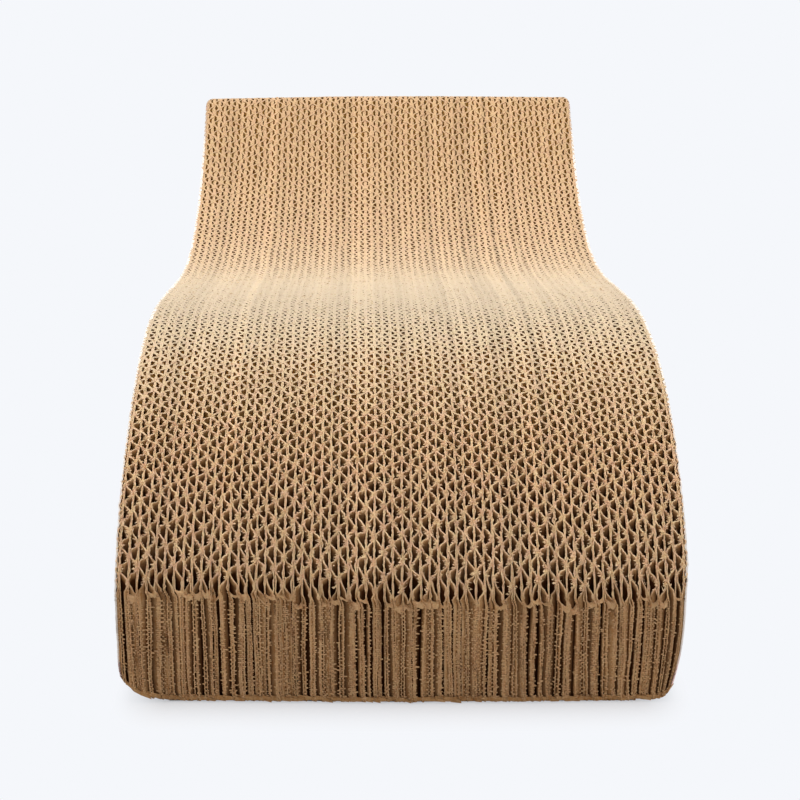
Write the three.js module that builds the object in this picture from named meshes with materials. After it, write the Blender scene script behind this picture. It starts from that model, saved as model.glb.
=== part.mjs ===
// A cat scratcher: corrugated boards glued face to face across its width.
//
// Every board is cut to the same wavy outline and stands on edge, flutes upright.
// A thin printed sheet of finer board closes each side. Nothing on it moves.
// Lengths are in millimetres. X runs across the boards, Y from the front face
// to the head end, and Z up. The origin is under the middle, at floor level.

import * as THREE from "three";

// The stack, across X
const BLOCK_WIDTH = 252; // across the stack, to the nearest whole board
const BOARD_THICKNESS = 4; // one single-wall board of coarse flute, liner to liner
const SIDE_SHEET_THICKNESS = 2; // the printed fine-flute sheet on each side
const PIECE_LIMIT = 60; // named pieces; boards past this are glued pairs at the middle

// The outline, seen from the side
const FRONT_HEIGHT = 50; // the upright front face
const FRONT_TO_CREST = 167; // run from the front face to the top of the hump
const CREST_HEIGHT = 127; // top of the hump
const CREST_TO_SADDLE = 226.5; // run from the hump to the lowest point of the lying hollow
const SADDLE_HEIGHT = 99.5; // lowest point of the lying hollow
const SADDLE_TO_HEAD = 185.5; // run from the hollow to the top of the head rest
const HEAD_HEIGHT = 168.7; // top of the head rest
const HEAD_RADIUS = 13; // rounding over the top of the head rest
const HEAD_SLOPE = 36; // degrees that the head rest's straight ramp climbs at
const HEAD_RAMP = 54; // length of that straight ramp, measured along it
const FOOT_RADIUS = 3; // rounding where the front and back faces meet the base

// How full each curve is, as a share of its own run
const CREST_FULLNESS = 0.77; // level stretch ahead of the crest
const CREST_EASE = 0.3; // level stretch behind the crest
const SADDLE_EASE_FRONT = 0.265; // level stretch ahead of the saddle's lowest point
const SADDLE_EASE_BACK = 0.45; // level stretch behind it
const RAMP_EASE = 0.21; // how early the curve settles into the ramp

// Straight steps that stand for each curved stretch
const CREST_STEPS = 9;
const HOLLOW_STEPS = 7;
const SWEEP_STEPS = 5;
const HEAD_FRONT_STEPS = 2;
const HEAD_BACK_STEPS = 3;
const FOOT_STEPS = 2;

const CARDBOARD = { color: 0xc4a27a, roughness: 0.95, metalness: 0 };
const PRINTED_SIDE = { color: 0xf2e4dd, roughness: 0.8, metalness: 0 };

const headSlope = THREE.MathUtils.degToRad(HEAD_SLOPE);
const crest = new THREE.Vector2(FRONT_TO_CREST, CREST_HEIGHT);
const saddle = new THREE.Vector2(crest.x + CREST_TO_SADDLE, SADDLE_HEIGHT);
const head = new THREE.Vector2(saddle.x + SADDLE_TO_HEAD, HEAD_HEIGHT - HEAD_RADIUS);
const LENGTH = head.x + HEAD_RADIUS;
const STACK_WIDTH = BLOCK_WIDTH - 2 * SIDE_SHEET_THICKNESS;
const BOARD_COUNT = Math.round(STACK_WIDTH / BOARD_THICKNESS);
const WIDTH = BOARD_COUNT * BOARD_THICKNESS + 2 * SIDE_SHEET_THICKNESS;

// One quarter or part of a turn about a centre, from one angle to another
function arc(centre, radius, from, to, steps) {
  const points = [];
  for (let step = 0; step <= steps; step += 1) {
    const angle = from + ((to - from) * step) / steps;
    const x = centre.x + radius * Math.cos(angle);
    const y = centre.y + radius * Math.sin(angle);
    points.push(new THREE.Vector2(x, y));
  }
  return points;
}

// A smooth stretch that leaves one point and meets the next along their handles
function sweep(start, leave, meet, end, steps) {
  return new THREE.CubicBezierCurve(start, leave, meet, end).getPoints(steps);
}

// The side outline, anticlockwise with X standing for the object's Y
function outline() {
  const foldTop = new THREE.Vector2(0, FRONT_HEIGHT);
  const onRamp = new THREE.Vector2(-Math.sin(headSlope), Math.cos(headSlope));
  const rampTop = head.clone().addScaledVector(onRamp, HEAD_RADIUS);
  const downRamp = new THREE.Vector2(-Math.cos(headSlope), -Math.sin(headSlope));
  const rampFoot = rampTop.clone().addScaledVector(downRamp, HEAD_RAMP);
  const sweepRun = rampFoot.x - saddle.x;

  const crestFront = crest.clone();
  crestFront.x -= CREST_FULLNESS * FRONT_TO_CREST;
  const crestBack = crest.clone();
  crestBack.x += CREST_EASE * CREST_TO_SADDLE;
  const saddleFront = saddle.clone();
  saddleFront.x -= SADDLE_EASE_FRONT * CREST_TO_SADDLE;
  const saddleBack = saddle.clone();
  saddleBack.x += SADDLE_EASE_BACK * sweepRun;
  const rampLead = rampFoot.clone().addScaledVector(downRamp, RAMP_EASE * sweepRun);

  const backFoot = new THREE.Vector2(LENGTH - FOOT_RADIUS, FOOT_RADIUS);
  const frontFoot = new THREE.Vector2(FOOT_RADIUS, FOOT_RADIUS);
  const quarter = Math.PI / 2;
  const points = [
    ...arc(frontFoot, FOOT_RADIUS, -quarter, -2 * quarter, FOOT_STEPS),
    ...sweep(foldTop, foldTop, crestFront, crest, CREST_STEPS),
    ...sweep(crest, crestBack, saddleFront, saddle, HOLLOW_STEPS).slice(1),
    ...sweep(saddle, saddleBack, rampLead, rampFoot, SWEEP_STEPS).slice(1),
    ...arc(head, HEAD_RADIUS, quarter + headSlope, quarter, HEAD_FRONT_STEPS),
    ...arc(head, HEAD_RADIUS, quarter, 0, HEAD_BACK_STEPS).slice(1),
    ...arc(backFoot, FOOT_RADIUS, 0, -quarter, FOOT_STEPS),
  ];
  return points.reverse();
}

const shape = new THREE.Shape(outline());

// One board or sheet of the stack, from its left face to its right face
function board(name, left, right, finish) {
  const geometry = new THREE.ExtrudeGeometry(shape, {
    depth: right - left,
    bevelEnabled: false,
    steps: 1,
  });
  const mesh = new THREE.Mesh(geometry, new THREE.MeshStandardMaterial(finish));
  mesh.name = name;
  mesh.position.set(0, 0, left);
  return mesh;
}

// Left face of the board with this number, counted from one
function boardLeft(number) {
  return -WIDTH / 2 + SIDE_SHEET_THICKNESS + (number - 1) * BOARD_THICKNESS;
}

function twoDigits(number) {
  return String(number).padStart(2, "0");
}

// The core boards, single except for the glued pairs around the middle
function coreBoards() {
  const pairs = Math.max(0, BOARD_COUNT + 2 - PIECE_LIMIT);
  const firstPaired = Math.floor((BOARD_COUNT - 2 * pairs) / 2) + 1;
  const lastPaired = firstPaired + 2 * pairs - 1;
  const meshes = [];
  let number = 1;
  while (number <= BOARD_COUNT) {
    const paired = number >= firstPaired && number <= lastPaired;
    const last = paired ? number + 1 : number;
    const label = paired ? `${twoDigits(number)}_${twoDigits(last)}` : twoDigits(number);
    meshes.push(board(`board_${label}`, boardLeft(number), boardLeft(last + 1), CARDBOARD));
    number = last + 1;
  }
  return meshes;
}

// The extrusion runs along its own Z, so the stack is turned to lie along X
const stack = new THREE.Group();
const turn = new THREE.Matrix4().makeBasis(
  new THREE.Vector3(0, 1, 0),
  new THREE.Vector3(0, 0, 1),
  new THREE.Vector3(1, 0, 0),
);
stack.quaternion.setFromRotationMatrix(turn);
stack.position.set(0, -LENGTH / 2, 0);
stack.add(board("side_sheet_left", -WIDTH / 2, boardLeft(1), PRINTED_SIDE));
stack.add(...coreBoards());
stack.add(board("side_sheet_right", boardLeft(BOARD_COUNT + 1), WIDTH / 2, PRINTED_SIDE));

const scratcher = new THREE.Group();
scratcher.name = "cat_scratcher";
scratcher.add(stack);

export default scratcher;
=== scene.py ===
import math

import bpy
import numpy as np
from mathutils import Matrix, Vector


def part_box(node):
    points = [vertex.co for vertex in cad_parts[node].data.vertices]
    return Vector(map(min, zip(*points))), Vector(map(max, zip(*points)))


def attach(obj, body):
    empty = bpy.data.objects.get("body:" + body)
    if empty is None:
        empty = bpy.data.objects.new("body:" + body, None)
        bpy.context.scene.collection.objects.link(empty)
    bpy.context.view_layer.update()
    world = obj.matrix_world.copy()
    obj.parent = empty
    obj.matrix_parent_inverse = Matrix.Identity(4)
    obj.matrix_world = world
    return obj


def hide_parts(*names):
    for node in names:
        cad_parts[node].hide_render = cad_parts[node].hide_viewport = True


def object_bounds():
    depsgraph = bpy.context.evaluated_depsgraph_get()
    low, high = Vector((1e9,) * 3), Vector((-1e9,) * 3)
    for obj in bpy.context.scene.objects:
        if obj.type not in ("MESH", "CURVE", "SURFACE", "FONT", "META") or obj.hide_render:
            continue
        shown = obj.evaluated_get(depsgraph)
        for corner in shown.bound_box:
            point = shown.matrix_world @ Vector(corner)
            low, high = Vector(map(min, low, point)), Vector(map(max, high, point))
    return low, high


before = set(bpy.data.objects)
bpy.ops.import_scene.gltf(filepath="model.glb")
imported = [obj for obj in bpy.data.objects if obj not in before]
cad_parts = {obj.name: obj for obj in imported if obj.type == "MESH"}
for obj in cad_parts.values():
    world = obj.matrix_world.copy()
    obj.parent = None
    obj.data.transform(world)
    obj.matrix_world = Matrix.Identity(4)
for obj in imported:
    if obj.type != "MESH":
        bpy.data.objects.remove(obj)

# A cat scratcher of corrugated boards on edge. Each board is remade as what it is:
# two liners with a wavy medium between them, cut ragged along the outline.
# Lengths are in metres, as in the CAD model.

CAD_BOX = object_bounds()
MM = 0.001

# Where the boards' cut edges lie
FRONT = CAD_BOX[0].y
BACK = CAD_BOX[1].y
HALF_WIDTH = CAD_BOX[1].x
TALLEST = CAD_BOX[1].z
FOOT = 1.2 * MM
ABOVE_FEET = 4 * MM

# Coarse board of the core
LINER = 0.32 * MM
MEDIUM = 0.4 * MM
FLUTE = 7.9 * MM
FLUTE_STEPS = 12
LINER_STEP = 0.9 * MM

# How far the flutes lean along the boards for each step across, at the front and at the head
LEAN_FRONT = -0.22
LEAN_HEAD = -0.06
LEAN_SPREAD = 0.09
LEAN_CHANGE = (35 * MM, 0.08)
LEAN_LIMIT = 0.5

# Fine board of the side sheets
FINE_LINER = 0.28 * MM
PRINTED_LINER = 0.45 * MM
FINE_MEDIUM = 0.22 * MM
FINE_FLUTE = 3.3 * MM
FINE_FLUTE_STEPS = 8

# Depths of the vertex rows below the top cut, and the finely stepped parts at both ends:
# how deep they reach, their rows, and how their columns crowd towards the cut
TOP_ROWS = np.array([0.0, 0.5, 2.2]) * MM
FRONT_REACH = 8 * MM
FRONT_ROWS = 108
FRONT_CROWDING = 1.4
BACK_REACH = 4 * MM
BACK_ROWS = 120
BACK_CROWDING = 1.3

# Up to here, past the front's fine part, columns stand twice as close as behind it
NEAR_SLOPE_END = -185.2 * MM

# The printed faces are seen whole, so their fine part covers all of the worn front corners
PRINTED_REACH = 72 * MM
PRINTED_ROWS = 12

# Pitch of the teeth that the blade leaves where it cuts along the flutes
TOOTH = 0.93 * MM

# Degrees between faces from which their shading breaks
SHARP_FROM = 42

SEED = 4217


# The outline

def top_corners(node):
    """The corners of a node's outline above its feet, from front to back, as y and z."""
    corners = np.array([v.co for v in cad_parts[node].data.vertices])[:, 1:]
    corners = np.unique(corners.round(6), axis=0)
    corners = corners[corners[:, 1] > ABOVE_FEET]
    return corners[np.argsort(corners[:, 0])]


class Outline:
    """The boards' side outline, with the CAD model's facets smoothed out."""

    STEP = 0.25 * MM
    SMOOTHED = 12 * MM
    SMOOTHED_AT_HEAD = 2.5 * MM
    HEAD_ZONE = 20 * MM
    HEAD_RUN = 40 * MM
    LEAST_REACH = 1e-6

    def __init__(self, node):
        corners = top_corners(node)
        self.y = np.arange(FRONT, BACK + self.STEP / 2, self.STEP)
        heights = np.interp(self.y, corners[:, 0], corners[:, 1])
        area = np.concatenate([[0.0], np.cumsum((heights[1:] + heights[:-1]) / 2)]) * self.STEP
        head = corners[np.argmax(corners[:, 1]), 0]
        off_head = np.clip((head - self.y - self.HEAD_ZONE) / self.HEAD_RUN, 0, 1)
        reach = self.SMOOTHED_AT_HEAD + (self.SMOOTHED - self.SMOOTHED_AT_HEAD) * off_head
        reach = np.minimum(reach, np.minimum(self.y - FRONT, BACK - self.y))
        reach = np.maximum(reach, self.LEAST_REACH)
        right = np.interp(self.y + reach, self.y, area)
        left = np.interp(self.y - reach, self.y, area)
        smooth = (right - left) / (2 * reach)
        self.z = np.where(reach > self.STEP, smooth, heights)

    def top(self, y):
        return np.interp(y, self.y, self.z)

    def slope(self, y):
        return (self.top(y + MM) - self.top(y - MM)) / (2 * MM)

    def foot(self, y):
        """How far the rounded feet lift the underside at y."""
        inside = np.clip(np.minimum(y - FRONT, BACK - y), 0, FOOT)
        return FOOT - np.sqrt(FOOT**2 - (FOOT - inside) ** 2)


OUTLINE = Outline("board_01")


# Noise

class Wander:
    """A smooth random line: a new value every spacing, blended between."""

    def __init__(self, rng, low, high, spacing, amount):
        self.start = low - spacing
        self.spacing = spacing
        self.values = rng.normal(0, amount, math.ceil((high - low) / spacing) + 4)

    def __call__(self, at):
        place = np.clip((at - self.start) / self.spacing, 0, len(self.values) - 1.001)
        before = place.astype(int)
        share = place - before
        share = share * share * (3 - 2 * share)
        return self.values[before] * (1 - share) + self.values[before + 1] * share


def along_length(rng, spacing, amount):
    return Wander(rng, FRONT, BACK, spacing, amount)


def up_height(rng, spacing, amount):
    return Wander(rng, 0.0, TALLEST, spacing, amount)


class Waves:
    """A sum of random waves in two directions, whose lengths lie in the ranges given."""

    def __init__(self, rng, count, first, second):
        self.first = 2 * np.pi / rng.uniform(*first, count)
        self.second = 2 * np.pi / rng.uniform(*second, count)
        self.second *= rng.choice([-1, 1], count)
        self.start = rng.uniform(0, 2 * np.pi, count)

    def __call__(self, one, two):
        total = 0
        for first, second, start in zip(self.first, self.second, self.start):
            total = total + np.sin(first * one + second * two + start)
        return total


class Ripple:
    """A gentle random bulge across the boards, as a function of y and z."""

    WAVES = 7
    ALONG = (22 * MM, 110 * MM)
    UP = (40 * MM, 160 * MM)

    def __init__(self, rng, amount):
        self.amount = amount / math.sqrt(self.WAVES)
        self.waves = Waves(rng, self.WAVES, self.ALONG, self.UP)

    def __call__(self, y, z):
        return self.amount * self.waves(y, z)


def plane(x):
    """A plane across the boards, as a function of y and z."""
    return lambda y, z: x + 0 * y


def shifted(face, amount):
    """A face moved across the boards."""
    return lambda y, z: face(y, z) + amount


def some_mm(rng, low, high, count=None):
    """Random lengths between two numbers of millimetres."""
    return rng.uniform(low, high, count) * MM


def fading(depth, reach):
    """One at a cut, and less and less with the depth below it."""
    return np.exp(-depth / reach)


# Sheets of paper

def column_places(step, front_reach):
    """Places along y for the front end, the middle and the back end of a sheet."""
    front_steps = max(5, round(front_reach / step))
    front = FRONT + front_reach * (np.arange(front_steps) / front_steps) ** FRONT_CROWDING
    near = np.arange(FRONT + front_reach, NEAR_SLOPE_END, step / 2)
    count = round((BACK - BACK_REACH - NEAR_SLOPE_END) / step)
    middle = np.concatenate([near, np.linspace(NEAR_SLOPE_END, BACK - BACK_REACH, count + 1)])
    back_steps = max(4, round(BACK_REACH / step))
    share = 1 - np.arange(1, back_steps + 1) / back_steps
    return front, middle, BACK - BACK_REACH * share**BACK_CROWDING


class Lattice:
    """The places of a sheet's vertices in y and z: fine at both ends, coarse between."""

    def __init__(self, step, front_reach=FRONT_REACH, side_rows=1):
        self.side_rows = side_rows
        front, middle, back = column_places(step, front_reach)
        blocks = [
            self.even_rows(front, FRONT_ROWS),
            self.top_rows(middle),
            self.even_rows(back, BACK_ROWS),
        ]
        self.shapes = [block[0].shape for block in blocks]
        self.y = np.concatenate([block[0].ravel() for block in blocks])
        self.z = np.concatenate([block[1].ravel() for block in blocks])
        self.faces = self.face_loops()
        self.rim = self.rim_loop()

    def even_rows(self, y, rows):
        share = np.linspace(0, 1, rows)
        low = OUTLINE.foot(y)[:, None]
        high = OUTLINE.top(y)[:, None]
        z = low + (high - low) * share[None, :]
        return np.broadcast_to(y[:, None], z.shape), z

    def top_rows(self, y):
        high = OUTLINE.top(y)[:, None] - TOP_ROWS[::-1][None, :]
        foot = OUTLINE.foot(y)[:, None]
        share = np.arange(self.side_rows)[None, :] / self.side_rows
        z = np.concatenate([foot + (high[:, :1] - foot) * share, high], axis=1)
        return np.broadcast_to(y[:, None], z.shape), z

    def numbers(self):
        """Each block's vertex numbers, as columns of rows from the bottom up."""
        start = 0
        for columns, rows in self.shapes:
            yield start + np.arange(columns * rows).reshape(columns, rows)
            start += columns * rows

    def face_loops(self):
        """Faces of one side: quads in each block and one many-sided face at each seam."""
        faces = []
        last = None
        for block in self.numbers():
            if last is not None:
                faces.append(np.concatenate([block[0], last[::-1]])[None, :])
            quads = [block[:-1, :-1], block[1:, :-1], block[1:, 1:], block[:-1, 1:]]
            faces.append(np.stack(quads, -1).reshape(-1, 4))
            last = block[-1]
        return faces

    def rim_loop(self):
        """Vertices round the sheet's edge: along the base, up the back, and back over the top."""
        blocks = list(self.numbers())
        base = np.concatenate([block[:, 0] for block in blocks])
        top = np.concatenate([block[:, -1] for block in blocks])
        return np.concatenate([base, blocks[-1][-1, 1:-1], top[::-1], blocks[0][0, -2:0:-1]])


class Sheets:
    """Collects closed paper sheets and fibres for one mesh object."""

    def __init__(self):
        self.places, self.faces, self.cut, self.tone = [], [], [], []
        self.count = 0

    def add(self, lattice, near, far, tone):
        """A closed sheet between two layers of vertices laid out as the lattice says."""
        size = len(lattice.y)
        one, two = self.count, self.count + size
        rim = lattice.rim
        after = np.roll(rim, -1)
        for loops in lattice.faces:
            self.faces.append(loops + one)
            self.faces.append(loops[:, ::-1] + two)
        self.faces.append(np.stack([after + one, rim + one, rim + two, after + two], -1))
        self.places += [near, far]
        to_top = OUTLINE.top(lattice.y) - lattice.z
        to_ends = np.minimum(lattice.y - FRONT, BACK - lattice.y)
        # Depth below the nearest cut, from which the material paints shade and light inside the
        # flutes
        depth = np.minimum(to_top, to_ends)
        depth = depth + END_DULLNESS * fading(to_ends, END_DULL_REACH)
        # Painted shade: browner towards the head
        depth = depth + along(lattice.y, HEAD_PAINTED_SHADE) * MM
        self.cut += [depth, depth]
        # The paper's own tone plus painted light and shade along the boards
        self.tone.append(np.tile(tone + along(lattice.y, PAINTED_LIGHT_AND_SHADE), 2))
        self.count += 2 * size

    def add_solids(self, rng, corners, faces, tone, pale):
        """Many small closed solids with the same faces, given as each one's corners."""
        solids, size = corners.shape[:2]
        start = self.count + size * np.arange(solids)[:, None]
        for face in faces:
            self.faces.append(start + np.array(face))
        places = corners.reshape(-1, 3)
        self.places.append(places)
        # Painted shade: browner towards the head
        self.cut.append(pale + along(places[:, 1], HEAD_PAINTED_SHADE) * MM)
        own = np.repeat(tone + rng.normal(0, SCRAP_TONES, solids), size)
        # The scraps' own tones plus painted light and shade along the boards
        self.tone.append(own + along(places[:, 1], PAINTED_LIGHT_AND_SHADE))
        self.count += size * solids

    def add_fibres(self, rng, roots, directions, lengths, width, tone):
        """Tapered paper fibres, each a closed spike from its root along a direction."""
        directions = unit(directions)
        side = unit(np.cross(directions, rng.normal(0, 1, directions.shape)))
        under = np.cross(directions, side)
        width = (width * rng.uniform(*FIBRE_WIDTHS, len(roots)))[:, None]
        roots = roots - directions * width / 2
        corners = [
            roots + side * width / 2,
            roots + under * width * FIBRE_THICK,
            roots - side * width / 2,
            roots + directions * lengths[:, None],
        ]
        self.add_solids(rng, np.stack(corners, 1), SPIKE_FACES, tone, 0)

    def add_crumbs(self, rng, centres, sizes, tone, pale):
        """Crumbs of torn paper, each an uneven closed octahedron."""
        axes = np.concatenate([np.eye(3), -np.eye(3)])
        corners = axes + rng.normal(0, CRUMB_UNEVEN, (len(centres), 6, 3))
        corners = corners * rng.uniform(*CRUMB_STRETCH, corners.shape[:2])[:, :, None]
        corners = corners * sizes[:, None, None] * CRUMB_SHAPE
        self.add_solids(rng, centres[:, None, :] + corners, CRUMB_FACES, tone, pale)

    def add_flaps(self, rng, x_of, y, z, directions, lengths, widths, tone, pale):
        """Flaps of torn paper on a face, each a closed block thinner towards its tip."""
        roots = np.stack([x_of(y, z), y, z], -1)
        directions = unit(directions)
        over = unit(np.cross(directions, UPRIGHT))
        across = np.cross(over, directions)
        corners = []
        for reach, width, thick in ((0.0, 1.0, FLAP_THICK), (1.0, FLAP_TIP, FLAP_THICK / 3)):
            middle = roots + directions * (reach * lengths)[:, None]
            for side, level in ((-1, -1), (1, -1), (1, 1), (-1, 1)):
                edge = across * (side * width / 2 * widths)[:, None]
                corners.append(middle + edge + over * (level * thick / 2))
        self.add_solids(rng, np.stack(corners, 1), BLOCK_FACES, tone, pale)

    def mesh(self, name, warps):
        mesh = bpy.data.meshes.new(name)
        places = np.concatenate(self.places)
        for warp in warps:
            places = warp(places)
        loops = np.concatenate([loops.ravel() for loops in self.faces])
        sizes = np.concatenate([np.full(len(f), f.shape[1]) for f in self.faces])
        starts = np.concatenate([[0], np.cumsum(sizes)[:-1]])
        mesh.vertices.add(len(places))
        mesh.vertices.foreach_set("co", places.ravel())
        mesh.loops.add(len(loops))
        mesh.loops.foreach_set("vertex_index", loops)
        mesh.polygons.add(len(sizes))
        mesh.polygons.foreach_set("loop_start", starts)
        mesh.polygons.foreach_set("loop_total", sizes)
        mesh.update(calc_edges=True)
        for title, values in (("cut_depth", self.cut), ("tone", self.tone)):
            layer = mesh.attributes.new(title, "FLOAT", "POINT")
            layer.data.foreach_set("value", np.concatenate(values).astype(np.float32))
        mesh.shade_smooth()
        mesh.set_sharp_from_angle(angle=math.radians(SHARP_FROM))
        return mesh


# The ends' cuts are less fluffy than the top's, so they count as deeper paper
END_DULLNESS = 0.48 * MM
END_DULL_REACH = 2.2 * MM

# How the cut changes from the front, over the near slope, hump and hollow, to the head
ALONG = np.array([-296.0, -250.0, -200.0, -100.0, 0.0, 100.0, 296.0]) * MM
LINER_FLUFF = (0.45, 0.35, 0.7, 1.8, 2.1, 1.8, 1.7)  # how much the liners' edges are spread
MEDIUM_FLUFF = (0.65, 0.55, 1.7, 3.0, 2.8, 2.6, 2.6)  # the same for the mediums' edges
WEB_SHARE = (1.0, 1.0, 0.9, 0.5, 0.3, 0.25, 0.2)  # how much of it gathers at the glued places
ROUGHNESS = (1.1, 1.1, 0.75, 0.3, 0.3, 0.35, 0.4)  # how ragged the edges are
# Painted shade: towards the head the cut counts as deeper, so it is painted browner
HEAD_PAINTED_SHADE = (0.0, 0.0, 0.0, 0.0, 0.0, 0.12, 0.22)  # how much browner, in mm of depth
# Painted light and shade: the cut's tone, paler or darker along the boards
PAINTED_LIGHT_AND_SHADE = (0.2, 0.9, -0.7, -2.7, -1.9, -0.8, -1.1)  # how much paler, in steps of tone
FIBRE_SHARE = (1.0, 1.0, 0.5, 0.1, 0.05, 0.08, 0.1)  # how closely fibres stand


def along(y, values):
    """One of the rows of values above, at places along y."""
    return np.interp(y, ALONG, values)


# Fibres, crumbs and flaps: how they differ in tone, and what shapes they have
SCRAP_TONES = 0.25
FIBRE_WIDTHS = (0.6, 1.4)
FIBRE_THICK = 0.7
CRUMB_UNEVEN = 0.32
CRUMB_STRETCH = (0.7, 1.3)
CRUMB_SHAPE = np.array([1.0, 1.0, 0.7])
FLAP_TIP = 0.6
UPRIGHT = (0.0, 0.0, 1.0)

CRUMB_FACES = ((0, 1, 2), (1, 3, 2), (3, 4, 2), (4, 0, 2), (1, 0, 5), (3, 1, 5), (4, 3, 5), (0, 4, 5))
SPIKE_FACES = ((0, 2, 1), (0, 1, 3), (1, 2, 3), (2, 0, 3))
BLOCK_FACES = ((3, 2, 1, 0), (4, 5, 6, 7), (0, 1, 5, 4), (1, 2, 6, 5), (2, 3, 7, 6), (3, 0, 4, 7))
FLAP_THICK = 0.26 * MM


def unit(directions):
    return directions / np.linalg.norm(directions, axis=1)[:, None]


LINER_LATTICE = Lattice(LINER_STEP)
MEDIUM_LATTICE = Lattice(FLUTE / FLUTE_STEPS)
FINE_LATTICE = Lattice(FINE_FLUTE / FINE_FLUTE_STEPS)
PRINTED_LATTICE = Lattice(LINER_STEP, PRINTED_REACH, PRINTED_ROWS)


def tooth_marks(rng, z, spacing, amount):
    """How strongly the blade's teeth have marked an end, up its height."""
    return np.clip(USUAL_MARK + up_height(rng, spacing, amount)(z), 0, MOST_MARK)


class Edge:
    """How one sheet's cut edge is torn: what to add to y and z, and how much it flares."""

    # How deep each kind of tearing reaches below the cut
    TOP_REACH = 0.6 * MM
    END_REACH = 0.8 * MM
    SETBACK_REACH = 4 * MM
    RIB_REACH = 3.5 * MM
    BURR_REACH = 0.8 * MM
    SWAY_REACH = 1.5 * MM
    FLARE_REACH = 0.5 * MM

    # How strong each kind is, for the lines as their spacing and amount
    NOTCHES = 0.26 * MM
    NOTCH_LINE = (2.2 * MM, 0.22 * MM)
    BITES = 0.14 * MM
    BURR = 0.55 * MM
    BURR_LINE = (1.1 * MM, 1.0)
    BURRS_FROM = 1.1
    SWAYS = 0.09 * MM
    SWAY_LINE = (1.7 * MM, 0.09 * MM)
    END_SWAYS = 0.08 * MM

    def __init__(self, rng, lattice, setback, teeth, flare):
        y, z = lattice.y, lattice.z
        n = len(y)
        top_depth = OUTLINE.top(y) - z
        front_depth = y - FRONT
        back_depth = BACK - y
        at_top = fading(top_depth, self.TOP_REACH)
        at_end = fading(front_depth, self.END_REACH) + fading(back_depth, self.END_REACH)
        rough = along(y, ROUGHNESS)
        torn = np.abs(rng.normal(0, self.NOTCHES, n))
        torn = torn + np.abs(along_length(rng, *self.NOTCH_LINE)(y))
        self.drop = -at_top * torn * rough
        saw = 2 * np.abs(2 * np.mod(z / TOOTH + rng.uniform(), 1) - 1) - 1
        strength = teeth * tooth_marks(rng, z, *BITE_MARKS)
        bite = strength * (1 + saw) + np.abs(rng.normal(0, self.BITES, n))
        ends = fading(front_depth, self.SETBACK_REACH) - fading(back_depth, self.SETBACK_REACH)
        inward = np.where(front_depth < back_depth, 1, -1)
        self.shift = inward * at_end * bite + ends * setback
        rib = rng.uniform(*RIBS) * tooth_marks(rng, z, *RIB_MARKS)
        at_ribs = fading(front_depth, self.RIB_REACH) + fading(back_depth, self.RIB_REACH)
        self.shift += inward * rib * (1 + saw) * at_ribs
        burrs = along_length(rng, *self.BURR_LINE)(y)
        burrs = self.BURR * np.sign(burrs) * np.clip(np.abs(burrs) - self.BURRS_FROM, 0, 1)
        self.sway = rng.normal(0, self.SWAYS, n) * at_top + burrs * fading(top_depth, self.BURR_REACH)
        self.sway += along_length(rng, *self.SWAY_LINE)(y) * fading(top_depth, self.SWAY_REACH)
        self.sway *= rough
        self.sway += at_end * (strength * saw + rng.normal(0, self.END_SWAYS, n))
        nearest = np.minimum(np.minimum(top_depth, front_depth), back_depth)
        self.flare = fading(nearest, self.FLARE_REACH) * rng.uniform(*flare, n)
        lost = min(abs(rng.normal(0, FOLD_WEAR)), MOST_FOLD_WEAR) / OUTLINE.top(FRONT)
        self.fold = 1 - lost * np.exp(-((front_depth / some_mm(rng, *FOLD_REACH)) ** 2))


# How strong tooth marks are, and how bites and ribs change up the height: spacing and amount
USUAL_MARK = 0.7
MOST_MARK = 1.6
BITE_MARKS = (9 * MM, 0.5)
RIB_MARKS = (6 * MM, 0.6)

# Ribs that the blade's teeth have dragged across paper lying along an end
RIBS = (0.03 * MM, 0.17 * MM)

# The upper front edge: the height that sheets have lost there, and how deep that reaches
FOLD_WEAR = 2.0 * MM
MOST_FOLD_WEAR = 5 * MM
FOLD_REACH = (1.5, 4)

# How much more mediums sway, how deep the teeth bite, and how much frayed edges flare
MEDIUM_SWAY = 1.3
LINER_TEETH = 0.38 * MM
LINER_FLARE = (0.7, 1.6)
MEDIUM_TEETH = 0.5 * MM
MEDIUM_FLARE = (0.9, 1.9)

# How much thicker the frayed edge of the medium is where it is glued to a liner: the blade
# has pushed most of the fluff to the side of the right-hand liner
WEB_RIGHT = 1.6
WEB_LEFT = 0.5
WEB_SHARPNESS = 6


def liner_sheet(sheets, rng, x_of, side, thick, tone, setback, lattice=LINER_LATTICE):
    """A liner whose outer face lies at x_of(y, z), with its paper towards the side given."""
    edge = Edge(rng, lattice, setback, LINER_TEETH, LINER_FLARE)
    y, z = lattice.y + edge.shift, (lattice.z + edge.drop) * edge.fold
    outer = x_of(lattice.y, lattice.z) + edge.sway
    inner = outer + side * thick * (1 + edge.flare * along(lattice.y, LINER_FLUFF))
    layers = [np.stack([x, y, z], -1) for x in (outer, inner)]
    if side < 0:
        layers.reverse()
    sheets.add(lattice, layers[1], layers[0], tone)


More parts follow.
